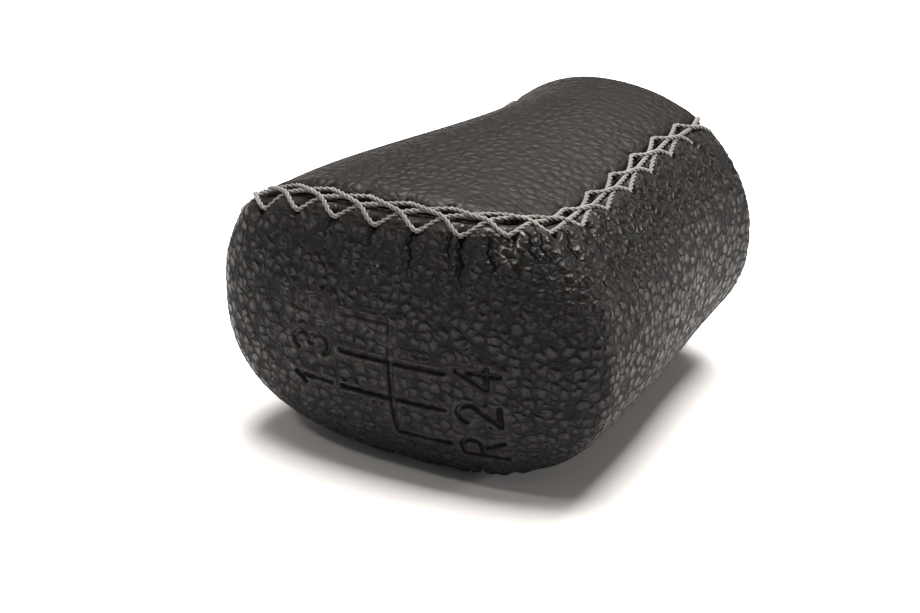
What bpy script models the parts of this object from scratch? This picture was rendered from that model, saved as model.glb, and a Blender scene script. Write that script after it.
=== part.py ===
"""Leather gear knob, lying on its left side as in the photo.

Metres. +Y runs from the crown to the lever end, -X is the front, +Z is the knob's right side,
and the knob's left side rests on Z = 0. The origin is the middle of the footprint.
"""
import math

import bmesh
import bpy
import numpy as np
from mathutils import Matrix, Vector

mm = 0.001

# Body: five sections between the crown and the lever end
BODY_LENGTH = 66.1 * mm
SHOULDER_Y = 16.5 * mm
MIDDLE_Y = 33.0 * mm
WAIST_Y = 49.5 * mm
CROWN_FRONT = 31.6 * mm
CROWN_BACK = 29.4 * mm
CROWN_HALF = 21.5 * mm
SHOULDER_FRONT = 31.9 * mm
SHOULDER_BACK = 29.2 * mm
SHOULDER_HALF = 21.4 * mm
MIDDLE_FRONT = 26.4 * mm
MIDDLE_BACK = 27.7 * mm
MIDDLE_HALF = 21.4 * mm
WAIST_FRONT = 21.0 * mm
WAIST_BACK = 25.3 * mm
WAIST_HALF = 21.4 * mm
BASE_FRONT = 24.3 * mm
BASE_BACK = 24.5 * mm
BASE_HALF = 20.2 * mm
CROWN_SQUARENESS = 2.6
BASE_SQUARENESS = 2.1
CROWN_ROUND = 9.5 * mm
CROWN_TILT = 0.16
BASE_ROUND = 5.4 * mm
CAP_POWER = 2.1

# Leather, and the room it keeps over the core
LEATHER = 1.2 * mm
FIT_GAP = 0.3 * mm

# Seam between a side panel and the wrap
SEAM_GAP = 0.5 * mm
CROWN_SEAM = 5.0 * mm
CROWN_SEAM_RADIUS = 83.0 * mm
CROWN_SEAM_LOW_X = -3.5 * mm
LEFT_SEAM_DROP = 6.0 * mm
BACK_INSET_CROWN = 11.9 * mm
BACK_INSET_END = 8.6 * mm
FRONT_SEAM_INSET = 3.0 * mm
BACK_CORNER = 9.0 * mm
FRONT_CORNER = 5.0 * mm
PANEL_TUCK = 9.0 * mm

# Hand lacing over the seam
THREAD = 0.66 * mm
THREAD_LIFT = 0.05 * mm
LACE_PITCH = 6.4 * mm
LACE_WIDTH = 3.8 * mm
LACE_END = 1.2 * mm

# Gathers of the wrap round the back corner of the crown
PLEATS = 9
PLEAT_FROM = -15.0 * mm
PLEAT_PITCH = 3.7 * mm
PLEAT_LONG = 8.5 * mm
PLEAT_SHORT = 5.0 * mm
PLEAT_WIDTH = 0.9 * mm

# Shift pattern pressed into the crown
GATE_COLUMNS = (("", "R"), ("1", "2"), ("3", "4"), ("5", ""))
GATE_PITCH = 6.1 * mm
GATE_THROW = 7.9 * mm
GATE_LINE = 0.9 * mm
GATE_DEPTH = 0.35 * mm
GATE_X = 0.5 * mm
GATE_OFFSET = 4.4 * mm
DIGIT_HEIGHT = 6.2 * mm
DIGIT_NARROW = 0.62
DIGIT_GAP = 1.9 * mm

# Lever end
NECK_RADIUS = 12.6 * mm
NECK_DEPTH = 4.0 * mm
FLANGE_RADIUS = 14.8 * mm
FLANGE_THICK = 1.2 * mm
FLANGE_SINK = 0.6 * mm
INSERT_RADIUS = 7.5 * mm
INSERT_RIB = 0.8 * mm
INSERT_RIB_WIDTH = 3.0 * mm
INSERT_DEPTH = 38.0 * mm
BORE_RADIUS = 5.0 * mm
BORE_DEPTH = 34.0 * mm
BORE_LEAD_IN = 0.8 * mm
FLANGE_EDGE = 0.4 * mm

# How far cutters reach past what they cut, and how close doubled points are merged
CUT_PAST = 4.0 * mm
MERGE = 0.01 * mm

# Steps for the skin's slope, the search for the skin and the seam's heading
SLOPE_STEP = 0.02 * mm
SKIN_SEARCH = 3.0 * mm
SEAM_STEP = 0.5 * mm

RING_POINTS = 40
BODY_RINGS = 12
CAP_RINGS = 6

STATIONS_Y = (0, SHOULDER_Y, MIDDLE_Y, WAIST_Y, BODY_LENGTH)
FRONT = (-CROWN_FRONT, -SHOULDER_FRONT, -MIDDLE_FRONT, -WAIST_FRONT, -BASE_FRONT)
BACK = (CROWN_BACK, SHOULDER_BACK, MIDDLE_BACK, WAIST_BACK, BASE_BACK)
HALF = (CROWN_HALF, SHOULDER_HALF, MIDDLE_HALF, WAIST_HALF, BASE_HALF)
LEVER_X = (BASE_BACK - BASE_FRONT) / 2


def spline_bends(values):
    """Second derivatives of the natural spline through the five stations."""
    count = len(STATIONS_Y)
    step = np.diff(STATIONS_Y)
    left = np.eye(count)
    right = np.zeros(count)
    for i in range(1, count - 1):
        left[i, i - 1] = step[i - 1]
        left[i, i] = 2 * (step[i - 1] + step[i])
        left[i, i + 1] = step[i]
        right[i] = 6 * ((values[i + 1] - values[i]) / step[i] - (values[i] - values[i - 1]) / step[i - 1])
    return np.linalg.solve(left, right)


FRONT_BENDS = spline_bends(FRONT)
BACK_BENDS = spline_bends(BACK)
HALF_BENDS = spline_bends(HALF)


def along(values, bends, y):
    """Value of a station list at the distance y from the crown."""
    i = min(max(int(np.searchsorted(STATIONS_Y, y)) - 1, 0), len(STATIONS_Y) - 2)
    step = STATIONS_Y[i + 1] - STATIONS_Y[i]
    b = (y - STATIONS_Y[i]) / step
    a = 1 - b
    curve = (a**3 - a) * bends[i] + (b**3 - b) * bends[i + 1]
    return a * values[i] + b * values[i + 1] + curve * step**2 / 6


def section(y):
    """Middle, half depth, half thickness and squareness of the section at y."""
    front = along(FRONT, FRONT_BENDS, y)
    back = along(BACK, BACK_BENDS, y)
    squareness = CROWN_SQUARENESS + (BASE_SQUARENESS - CROWN_SQUARENESS) * y / BODY_LENGTH
    return (front + back) / 2, (back - front) / 2, along(HALF, HALF_BENDS, y), squareness


def cap_factor(y):
    """Share of the full section left at y, below 1 in the rounding of the crown and of the base."""
    crown = min(max(1 - y / CROWN_ROUND, 0), 1)
    base = min(max(1 - (BODY_LENGTH - y) / BASE_ROUND, 0), 1)
    return ((1 - crown**CAP_POWER) * (1 - base**CAP_POWER)) ** (1 / CAP_POWER)


def tilted(x, y):
    """Y of a point after the crown is tilted to the front."""
    return y + CROWN_TILT * x * (1 - y / BODY_LENGTH)


def untilted(x, y):
    return (y - CROWN_TILT * x) / (1 - CROWN_TILT * x / BODY_LENGTH)


def ring_heights():
    """Distances from the crown of all rings, close together in both roundings."""
    turns = [math.pi / 2 * (i + 0.8) / (CAP_RINGS - 0.2) for i in range(CAP_RINGS)]
    cap = [1 - math.cos(t) ** (2 / CAP_POWER) for t in turns[:-1]]
    crown = [CROWN_ROUND * c for c in cap]
    base = [BODY_LENGTH - BASE_ROUND * c for c in reversed(cap)]
    body = np.linspace(CROWN_ROUND, BODY_LENGTH - BASE_ROUND, BODY_RINGS)
    return crown + list(body) + base


MID_Z = max(section(y)[2] * cap_factor(y) for y in ring_heights())


def ring(y):
    middle, half_depth, half_thick, squareness = section(y)
    share = cap_factor(y)
    points = []
    for i in range(RING_POINTS):
        angle = 2 * math.pi * i / RING_POINTS
        c, s = math.cos(angle), math.sin(angle)
        x = middle + share * half_depth * math.copysign(abs(c) ** (2 / squareness), c)
        z = share * half_thick * math.copysign(abs(s) ** (2 / squareness), s)
        points.append(Vector((x, tilted(x, y), MID_Z + z)))
    return points


def field(p):
    """Below zero inside the body, zero on its skin."""
    y = min(max(untilted(p.x, p.y), 0), BODY_LENGTH)
    middle, half_depth, half_thick, squareness = section(y)
    u = abs(p.x - middle) / half_depth
    v = abs(p.z - MID_Z) / half_thick
    return (u**squareness + v**squareness) ** (1 / squareness) - cap_factor(y)


def skin_normal(p):
    slope = [field(p + SLOPE_STEP * axis) - field(p - SLOPE_STEP * axis) for axis in Matrix.Identity(3)]
    return Vector(slope).normalized()


def to_skin(p, direction):
    """The point of the skin on the line through p along direction."""
    inner, outer = -SKIN_SEARCH, SKIN_SEARCH
    for _ in range(30):
        middle = (inner + outer) / 2
        if field(p + middle * direction) < 0:
            inner = middle
        else:
            outer = middle
    return p + inner * direction


def skin_height(x, y, side):
    """The point of the skin over (x, y), on the knob's right (side 1) or left (side -1)."""
    under = untilted(x, y)
    middle, half_depth, half_thick, squareness = section(under)
    share = cap_factor(under)
    u = min(abs(x - middle) / (half_depth * share), 1)
    z = share * half_thick * (1 - u**squareness) ** (1 / squareness)
    return Vector((x, y, MID_Z + side * z))


def walk(p, heading, distance, steps=4):
    """Walks over the skin from p along heading and lists the points passed."""
    points = [p]
    for _ in range(steps):
        normal = skin_normal(p)
        heading = (heading - normal * heading.dot(normal)).normalized()
        p = to_skin(p + heading * distance / steps, normal)
        points.append(p)
    return points


def crown_seam(x, side):
    """Distance of the seam over the crown, which lies further round on the knob's left."""
    drop = LEFT_SEAM_DROP if side < 0 else 0
    bow = (x - CROWN_SEAM_LOW_X) ** 2 / (2 * CROWN_SEAM_RADIUS)
    return CROWN_SEAM + drop + bow + CROWN_TILT * x


def back_seam(y):
    inset = BACK_INSET_CROWN + (BACK_INSET_END - BACK_INSET_CROWN) * y / BODY_LENGTH
    return along(BACK, BACK_BENDS, y) - inset


def front_seam(y):
    return along(FRONT, FRONT_BENDS, y) + FRONT_SEAM_INSET


def seam_corner(edge_seam, side):
    """Where the seam over the crown meets the seam down the front or the back."""
    y = CROWN_SEAM
    for _ in range(12):
        x = edge_seam(y)
        y = crown_seam(x, side)
    return Vector((x, y))


def rounded(before, corner, after, steps=6):
    """A bend from before to after, drawn towards the corner."""
    points = []
    for i in range(1, steps):
        t = i / steps
        points.append(before * (1 - t) ** 2 + corner * 2 * t * (1 - t) + after * t**2)
    return points


def seam_line(side):
    """One side's seam in side view: up the front, over the crown and down the back."""
    end_y = BODY_LENGTH - BASE_ROUND
    front, back = seam_corner(front_seam, side), seam_corner(back_seam, side)
    rise = [Vector((front_seam(y), y)) for y in np.linspace(end_y, front.y + FRONT_CORNER, 12)]
    crown_x = np.linspace(front.x + FRONT_CORNER, back.x - BACK_CORNER, 10)
    crown = [Vector((x, crown_seam(x, side))) for x in crown_x]
    fall = [Vector((back_seam(y), y)) for y in np.linspace(back.y + BACK_CORNER, end_y, 12)]
    first_bend = rounded(rise[-1], front, crown[0])
    last_bend = rounded(crown[-1], back, fall[0])
    return rise + first_bend + crown + last_bend + fall


def offset_line(points, distance):
    """Moves a side-view line out of the panel by distance."""
    moved = []
    for i, p in enumerate(points):
        ahead = points[min(i + 1, len(points) - 1)]
        behind = points[max(i - 1, 0)]
        run = (ahead - behind).normalized()
        moved.append(p + Vector((run.y, -run.x)) * distance)
    return moved


# Scene and collections

for old in list(bpy.data.objects):
    bpy.data.objects.remove(old)

knob = bpy.data.collections.new("gear_knob")
cutters = bpy.data.collections.new("cutters")
bpy.context.scene.collection.children.link(knob)
bpy.context.scene.collection.children.link(cutters)


def material(name, colour, roughness, metallic=0.0):
    m = bpy.data.materials.new(name)
    m.use_nodes = True
    shader = m.node_tree.nodes["Principled BSDF"]
    shader.inputs["Base Color"].default_value = (*colour, 1)
    shader.inputs["Roughness"].default_value = roughness
    shader.inputs["Metallic"].default_value = metallic
    m.diffuse_color = (*colour, 1)
    return m


def add(name, mesh, collection, surface=None):
    obj = bpy.data.objects.new(name, mesh)
    collection.objects.link(obj)
    if surface:
        mesh.materials.append(surface)
    if collection == cutters:
        obj.hide_render = True
        obj.display_type = "WIRE"
    return obj


def boolean(obj, other, operation="DIFFERENCE"):
    mod = obj.modifiers.new(other.name, "BOOLEAN")
    mod.object = other
    mod.operation = operation
    mod.solver = "EXACT"


def body_loft(name, inset):
    """The body's skin as a closed loft, moved in by inset."""
    bm = bmesh.new()
    rings = [[bm.verts.new(p) for p in ring(y)] for y in ring_heights()]
    for low, high in zip(rings, rings[1:]):
        for i in range(RING_POINTS):
            j = (i + 1) % RING_POINTS
            bm.faces.new((low[i], low[j], high[j], high[i]))
    for y, edge, flip in ((0, rings[0], True), (BODY_LENGTH, rings[-1], False)):
        x = section(y)[0]
        pole = bm.verts.new((x, tilted(x, y), MID_Z))
        for i in range(RING_POINTS):
            pair = (edge[i], edge[(i + 1) % RING_POINTS])
            bm.faces.new((*(reversed(pair) if flip else pair), pole))
    bmesh.ops.recalc_face_normals(bm, faces=bm.faces)
    bm.normal_update()
    normals = [v.normal.copy() for v in bm.verts]
    for v, normal in zip(bm.verts, normals):
        v.co -= normal * inset
    mesh = bpy.data.meshes.new(name)
    bm.to_mesh(mesh)
    bm.free()
    return mesh


def prism(name, outline, low_z, high_z):
    """A side-view outline extruded from low_z to high_z."""
    bm = bmesh.new()
    face = bm.faces.new([bm.verts.new((p.x, p.y, low_z)) for p in outline])
    grown = bmesh.ops.extrude_face_region(bm, geom=[face])
    top = [v for v in grown["geom"] if isinstance(v, bmesh.types.BMVert)]
    bmesh.ops.translate(bm, verts=top, vec=(0, 0, high_z - low_z))
    bmesh.ops.recalc_face_normals(bm, faces=bm.faces)
    mesh = bpy.data.meshes.new(name)
    bm.to_mesh(mesh)
    bm.free()
    return mesh


def panel_prism(name, side, offset):
    """What a side panel takes out of the leather shell, with its edge moved out by offset."""
    outline = offset_line(seam_line(side), offset)
    last, first = outline[-1], outline[0]
    beyond = BODY_LENGTH + CUT_PAST
    outline += [Vector((last.x, beyond)), Vector((first.x, beyond))]
    near, far = MID_Z + side * (PANEL_TUCK - offset), MID_Z + side * (MID_Z + CUT_PAST)
    return add(name, prism(name, outline, min(near, far), max(near, far)), cutters)


def turned(name, profile, surface=None, collection=knob):
    """A profile of (radius, y) pairs, listed from the lever end inwards, turned round the lever axis."""
    mesh = bpy.data.meshes.new(name)
    mesh.from_pydata([(r, 0, y) for r, y in profile], [(i, i + 1) for i in range(len(profile) - 1)], [])
    obj = add(name, mesh, collection, surface)
    obj.location = (LEVER_X, 0, MID_Z)
    obj.rotation_euler = (-math.pi / 2, 0, 0)
    mod = obj.modifiers.new("turn", "SCREW")
    mod.angle = 2 * math.pi
    mod.steps = mod.render_steps = 32
    mod.use_merge_vertices = True
    mod.merge_threshold = MERGE
    return obj


def solid_mesh(curve):
    """The closed mesh of a curve or text, with its doubled points merged."""
    holder = bpy.data.objects.new(curve.name + "_curve", curve)
    cutters.objects.link(holder)
    depsgraph = bpy.context.evaluated_depsgraph_get()
    mesh = bpy.data.meshes.new_from_object(holder.evaluated_get(depsgraph))
    bpy.data.objects.remove(holder)
    mesh.name = curve.name
    bm = bmesh.new()
    bm.from_mesh(mesh)
    bmesh.ops.remove_doubles(bm, verts=bm.verts, dist=MERGE)
    bmesh.ops.recalc_face_normals(bm, faces=bm.faces)
    bm.to_mesh(mesh)
    bm.free()
    return mesh


def tube(name, paths, thickness, radii=None):
    """Round thread along each path of points, made into a mesh."""
    curve = bpy.data.curves.new(name, "CURVE")
    curve.dimensions = "3D"
    curve.bevel_depth = thickness / 2
    curve.bevel_resolution = 1
    curve.use_fill_caps = True
    for path in paths:
        spline = curve.splines.new("POLY")
        spline.points.add(len(path) - 1)
        for i, p in enumerate(path):
            spline.points[i].co = (*p, 1)
            if radii:
                spline.points[i].radius = radii[i]
    return solid_mesh(curve)


# Seam measured along the skin, for the lacing and the gathers


class SeamRun:
    """The seam of one side as a run of skin points with a length."""

    def __init__(self, side):
        self.side = side
        self.points = [skin_height(p.x, p.y, side) for p in seam_line(side)]
        steps = [(b - a).length for a, b in zip(self.points, self.points[1:])]
        self.length = sum(steps)
        self.marks = np.concatenate([[0], np.cumsum(steps)])

    def at(self, s):
        x, y = (np.interp(s, self.marks, [p[k] for p in self.points]) for k in (0, 1))
        return skin_height(x, y, self.side)

    def place(self, s, across, lift=0.0):
        """Point at s along the seam, across it (towards the wrap) and lifted off the skin."""
        p = self.at(s)
        run = self.at(s + SEAM_STEP) - self.at(s - SEAM_STEP)
        normal = skin_normal(p)
        outwards = run.cross(normal).normalized() * self.side
        p = to_skin(p + outwards * across, normal)
        return p + skin_normal(p) * lift

    def outwards(self, s):
        return (self.place(s, SEAM_STEP) - self.at(s)).normalized()

    def corner(self):
        """Length at the back corner of the crown."""
        back = seam_corner(back_seam, self.side)
        gaps = [(Vector((p.x, p.y)) - back).length for p in self.points]
        return self.marks[int(np.argmin(gaps))]


def lacing(name, side, surface):
    """Three zigzags, each going from one row of holes to the other in 1.5 pitches."""
    seam = SeamRun(side)
    holes = int((seam.length - 2 * LACE_END) / LACE_PITCH)
    pitch = (seam.length - 2 * LACE_END) / holes
    lift = THREAD / 2 + THREAD_LIFT
    chains = []
    for start in (0, 1, 2):
        stops = []
        k = float(start)
        across = -LACE_WIDTH / 2
        while k <= holes:
            stops.append((LACE_END + k * pitch, across))
            k += 1.5
            across = -across
        path = []
        for (s0, a0), (s1, a1) in zip(stops, stops[1:]):
            for t in (0, 1 / 4, 1 / 2, 3 / 4):
                path.append(seam.place(s0 + (s1 - s0) * t, a0 + (a1 - a0) * t, lift))
        path.append(seam.place(*stops[-1], lift))
        chains.append(path)
    obj = add(name, tube(name, chains[:1], THREAD), knob, surface)
    for i, path in enumerate(chains[1:]):
        label = name + "_zigzag_%d" % (i + 2)
        boolean(obj, add(label, tube(label, [path], THREAD), cutters), "UNION")
    return obj


def gathers(name, side):
    """Grooves that the gathered leather leaves under the corner of the seam."""
    seam = SeamRun(side)
    middle = seam.corner()
    grooves = []
    for i in range(PLEATS):
        s = middle + PLEAT_FROM + i * PLEAT_PITCH
        long_one = PLEAT_LONG if i % 2 else PLEAT_SHORT
        start = seam.place(s, LACE_WIDTH / 2)
        path = walk(start, seam.outwards(s), long_one)
        label = "%s_%d" % (name, i + 1)
        grooves.append(add(label, tube(label, [path], PLEAT_WIDTH, (1, 0.9, 0.75, 0.5, 0.2)), cutters))
    return grooves


def gate_outline(first_z):
    """Outline of the gate's lines seen from the crown, as (x, z) pairs."""
    half = GATE_LINE / 2
    front_side, back_side = [], []
    for side, row, way in ((front_side, 0, -1), (back_side, 1, 1)):
        inner = GATE_X + way * half
        outer = inner + way * GATE_THROW
        for i, column in enumerate(GATE_COLUMNS):
            z = first_z + i * GATE_PITCH
            if column[row]:
                side += [(inner, z - half), (outer, z - half), (outer, z + half), (inner, z + half)]
            elif i == 0:
                side.append((inner, z - half))
            elif i == len(GATE_COLUMNS) - 1:
                side.append((inner, z + half))
    return front_side + back_side[::-1]


def gate_cutters():
    """Shift pattern and its signs as tall blocks through the crown, to be cut to GATE_DEPTH."""
    tall = 2 * CROWN_HALF
    first_z = MID_Z - GATE_OFFSET - (len(GATE_COLUMNS) - 1) / 2 * GATE_PITCH
    signs_x = GATE_THROW + DIGIT_GAP + DIGIT_HEIGHT / 2
    bm = bmesh.new()
    face = bm.faces.new([bm.verts.new((x, -tall / 2, z)) for x, z in gate_outline(first_z)])
    grown = bmesh.ops.extrude_face_region(bm, geom=[face])
    top = [v for v in grown["geom"] if isinstance(v, bmesh.types.BMVert)]
    bmesh.ops.translate(bm, verts=top, vec=(0, tall, 0))
    bmesh.ops.recalc_face_normals(bm, faces=bm.faces)
    mesh = bpy.data.meshes.new("gate_lines")
    bm.to_mesh(mesh)
    bm.free()
    made = [add("gate_lines", mesh, cutters)]
    for i, (front, back) in enumerate(GATE_COLUMNS):
        z = first_z + i * GATE_PITCH
        if front:
            made.append(sign_block(front, GATE_X - signs_x, z, tall))
        if back:
            made.append(sign_block(back, GATE_X + signs_x, z, tall))
    return made


def sign_block(sign, x, z, tall):
    """One sign, its top to the front and its right to the knob's right, as a tall block."""
    curve = bpy.data.curves.new("gate_sign", "FONT")
    curve.body = sign
    curve.align_x = "CENTER"
    curve.align_y = "CENTER"
    curve.size = DIGIT_HEIGHT
    curve.resolution_u = 2
    curve.extrude = tall / 2
    mesh = solid_mesh(curve)
    height = max(v.co.y for v in mesh.vertices) - min(v.co.y for v in mesh.vertices)
    grown = DIGIT_HEIGHT / height
    mesh.transform(Matrix.Diagonal((DIGIT_NARROW * grown, grown, 1, 1)))
    obj = add("gate_sign_%s" % sign, mesh, cutters)
    axes = Matrix(((0, -1, 0), (0, 0, -1), (1, 0, 0))).to_4x4()
    obj.matrix_world = Matrix.Translation((x, 0, z)) @ axes
    return obj


# Materials

leather = material("leather", (0.045, 0.040, 0.036), 0.55)
side_leather = material("side_leather", (0.075, 0.068, 0.062), 0.7)
grey_thread = material("grey_thread", (0.30, 0.29, 0.27), 0.8)
moulded_core = material("moulded_core", (0.02, 0.02, 0.02), 0.6)
black_plastic = material("black_plastic", (0.012, 0.012, 0.013), 0.45)
steel = material("steel", (0.55, 0.55, 0.56), 0.35, 1.0)

# Shared cutters

inside = add("leather_inside", body_loft("leather_inside", LEATHER), cutters)
past_end = BODY_LENGTH + CUT_PAST
opening_y = BODY_LENGTH - LEATHER - CUT_PAST
neck_hole = NECK_RADIUS + FIT_GAP
opening = turned("base_opening", ((0, past_end), (neck_hole, past_end), (neck_hole, opening_y), (0, opening_y)),
                 collection=cutters)

# Side panels: the leather shell inside the seam

for label, side in (("right_side_panel", 1), ("left_side_panel", -1)):
    panel = add(label, body_loft(label, 0), knob, side_leather)
    boolean(panel, inside)
    boolean(panel, panel_prism(label + "_edge", side, -SEAM_GAP / 2), "INTERSECT")
    boolean(panel, opening)

# Wrap: the rest of the shell, with the gathers and the shift pattern

wrap = add("leather_wrap", body_loft("leather_wrap", 0), knob, leather)
boolean(wrap, inside)
for label, side in (("right_seam", 1), ("left_seam", -1)):
    boolean(wrap, panel_prism(label, side, SEAM_GAP / 2))
boolean(wrap, opening)
for side in (1, -1):
    for groove in gathers("gather_right" if side > 0 else "gather_left", side):
        boolean(wrap, groove)
gate_floor = add("gate_floor", body_loft("gate_floor", GATE_DEPTH), cutters)
for cutter in gate_cutters():
    boolean(cutter, gate_floor)
    boolean(wrap, cutter)

# Lacing on both seams

lacing("right_lacing", 1, grey_thread)
lacing("left_lacing", -1, grey_thread)

# Lever insert, turned with two ribs that lock it in the core

insert_end = BODY_LENGTH + FLANGE_THICK - FLANGE_SINK
insert_deep = BODY_LENGTH - INSERT_DEPTH


def insert_outside(gap, start_y):
    """Outer profile of the insert from start_y inwards, grown by gap."""
    radius = INSERT_RADIUS + gap
    rib = radius + INSERT_RIB
    points = [(radius, start_y)]
    for share in (1 / 3, 2 / 3):
        y = BODY_LENGTH - share * INSERT_DEPTH
        half = INSERT_RIB_WIDTH / 2 + gap
        points += [(radius, y + half), (rib, y + half), (rib, y - half), (radius, y - half)]
    points += [(radius, insert_deep - gap), (0, insert_deep - gap)]
    return points


bore_floor = insert_end - BORE_DEPTH
turned("lever_insert", [(0, bore_floor), (BORE_RADIUS, bore_floor), (BORE_RADIUS, insert_end - BORE_LEAD_IN),
                        (BORE_RADIUS + BORE_LEAD_IN, insert_end)] + insert_outside(0, insert_end), steel)

# Base collar, a snap ring whose neck passes through the leather

collar_bore = INSERT_RADIUS + FIT_GAP
flange_under = BODY_LENGTH - FLANGE_SINK
neck_end = BODY_LENGTH - NECK_DEPTH
turned("base_collar", [(collar_bore, insert_end), (FLANGE_RADIUS - FLANGE_EDGE, insert_end),
                       (FLANGE_RADIUS, insert_end - FLANGE_EDGE), (FLANGE_RADIUS, flange_under),
                       (NECK_RADIUS, flange_under), (NECK_RADIUS, neck_end), (collar_bore, neck_end),
                       (collar_bore, insert_end)], black_plastic)

# Core, moulded round the insert

core = add("knob_core", body_loft("knob_core", LEATHER + FIT_GAP), knob, moulded_core)
socket_step = neck_end - FIT_GAP
socket = [(0, past_end), (neck_hole, past_end), (neck_hole, socket_step)] + insert_outside(FIT_GAP, socket_step)
boolean(core, turned("core_socket", socket, collection=cutters))

# Origin to the middle of the footprint

bpy.context.view_layer.update()
depsgraph = bpy.context.evaluated_depsgraph_get()
corners = []
for obj in knob.objects:
    shape = obj.evaluated_get(depsgraph)
    corners += [shape.matrix_world @ Vector(c) for c in shape.bound_box]
centre_x = (min(c.x for c in corners) + max(c.x for c in corners)) / 2
centre_y = (min(c.y for c in corners) + max(c.y for c in corners)) / 2
low_z = min(c.z for c in corners)

footprint = bpy.data.objects.new("footprint", None)
knob.objects.link(footprint)
footprint.location = (-centre_x, -centre_y, -low_z)
for obj in list(knob.objects) + list(cutters.objects):
    if obj != footprint:
        obj.parent = footprint
print("lever axis at x %.4f mm, z %.4f mm" % ((LEVER_X - centre_x) / mm, (MID_Z - low_z) / mm))
print("lever end at y %.4f mm" % ((insert_end - centre_y) / mm))
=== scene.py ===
import math

import bmesh
import bpy
import numpy as np
from mathutils import Matrix, Vector
from mathutils.kdtree import KDTree


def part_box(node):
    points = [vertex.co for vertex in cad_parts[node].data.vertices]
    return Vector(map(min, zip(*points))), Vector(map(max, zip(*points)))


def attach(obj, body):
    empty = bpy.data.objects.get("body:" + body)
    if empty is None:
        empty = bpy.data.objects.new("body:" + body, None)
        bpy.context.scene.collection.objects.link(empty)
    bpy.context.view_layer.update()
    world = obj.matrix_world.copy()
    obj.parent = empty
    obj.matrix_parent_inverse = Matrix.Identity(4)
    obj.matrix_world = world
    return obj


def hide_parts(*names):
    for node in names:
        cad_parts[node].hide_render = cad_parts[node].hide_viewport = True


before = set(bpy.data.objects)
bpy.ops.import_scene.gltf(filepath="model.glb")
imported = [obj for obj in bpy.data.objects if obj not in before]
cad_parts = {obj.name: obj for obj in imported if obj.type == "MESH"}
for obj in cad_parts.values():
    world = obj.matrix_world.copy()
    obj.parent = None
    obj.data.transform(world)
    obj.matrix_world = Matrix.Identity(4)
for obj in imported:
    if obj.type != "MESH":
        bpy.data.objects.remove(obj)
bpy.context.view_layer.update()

mm = 0.001

# Everything on the skin is worked out in millimetres from the crown, then moved into the frame.
leverLow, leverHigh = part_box("lever_insert")
collarLow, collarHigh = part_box("base_collar")

knobForm = dict(
    length=66.1,
    stations=(0, 16.5, 33.0, 49.5, 66.1),
    front=(31.6, 31.9, 26.4, 21.0, 24.3),
    back=(29.4, 29.2, 27.7, 25.3, 24.5),
    half=(21.5, 21.4, 21.4, 21.4, 20.2),
    crownSquareness=2.6,
    baseSquareness=2.1,
    crownRound=9.5,
    baseRound=5.4,
    capPower=2.1,
    tilt=0.16,
    collarProud=0.6,
    leverX=0.1,
)
middleX = (leverLow.x + leverHigh.x) / 2 / mm - knobForm["leverX"]
crownY = collarHigh.y / mm - knobForm["length"] - knobForm["collarProud"]
middleZ = (leverLow.z + leverHigh.z) / 2 / mm


def naturalSpline(values):
    # second derivatives at the stations, zero at both ends
    y = np.array(knobForm["stations"], float)
    v = np.array(values, float)
    step = np.diff(y)
    left = np.eye(len(y))
    right = np.zeros(len(y))
    for i in range(1, len(y) - 1):
        left[i, i - 1:i + 2] = step[i - 1], 2 * (step[i - 1] + step[i]), step[i]
        right[i] = 6 * ((v[i + 1] - v[i]) / step[i] - (v[i] - v[i - 1]) / step[i - 1])
    return y, v, np.linalg.solve(left, right)


def along(spline, y):
    at, values, bends = spline
    i = np.clip(np.searchsorted(at, y) - 1, 0, len(at) - 2)
    step = at[i + 1] - at[i]
    b = (y - at[i]) / step
    a = 1 - b
    curve = (a**3 - a) * bends[i] + (b**3 - b) * bends[i + 1]
    return a * values[i] + b * values[i + 1] + curve * step**2 / 6


frontSpline = naturalSpline([-v for v in knobForm["front"]])
backSpline = naturalSpline(knobForm["back"])
halfSpline = naturalSpline(knobForm["half"])


def capShare(y):
    power = knobForm["capPower"]
    crown = np.clip(1 - y / knobForm["crownRound"], 0, 1)
    base = np.clip(1 - (knobForm["length"] - y) / knobForm["baseRound"], 0, 1)
    return np.maximum((1 - crown**power) * (1 - base**power), 0) ** (1 / power)


def sectionAt(y):
    front, back = along(frontSpline, y), along(backSpline, y)
    turn = knobForm["baseSquareness"] - knobForm["crownSquareness"]
    squareness = knobForm["crownSquareness"] + turn * y / knobForm["length"]
    return (front + back) / 2, (back - front) / 2, along(halfSpline, y), squareness


def upright(x, y):
    # takes the crown's tilt out of a height
    return (y - knobForm["tilt"] * x) / (1 - knobForm["tilt"] * x / knobForm["length"])


def bodyField(p):
    # below zero inside the knob, zero on its skin; z is counted from the middle plane
    y = np.clip(upright(p[..., 0], p[..., 1]), 0, knobForm["length"])
    middle, depth, half, squareness = sectionAt(y)
    u = np.abs((p[..., 0] - middle) / depth)
    v = np.abs(p[..., 2] / half)
    return (u**squareness + v**squareness) ** (1 / squareness) - capShare(y)


def unit(v):
    return v / np.linalg.norm(v, axis=-1, keepdims=True)


def skinNormals(p):
    step = 0.02
    slope = [bodyField(p + step * axis) - bodyField(p - step * axis) for axis in np.eye(3)]
    return unit(np.stack(slope, -1))


def castOut(origin, direction, near=0.0, far=60.0, steps=26):
    # where rays from inside reach the skin
    inner = np.full(direction.shape[:-1], near, float)
    outer = np.full(direction.shape[:-1], far, float)
    for _ in range(steps):
        middle = (inner + outer) / 2
        inside = bodyField(origin + direction * middle[..., None]) < 0
        inner = np.where(inside, middle, inner)
        outer = np.where(inside, outer, middle)
    return origin + direction * inner[..., None]


def ontoSkin(p, reach=3.0):
    # nearest skin along the normal, for points that are close to it already
    n = skinNormals(p)
    return castOut(p - n * reach, n, 0.0, 2 * reach, 22)


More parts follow.
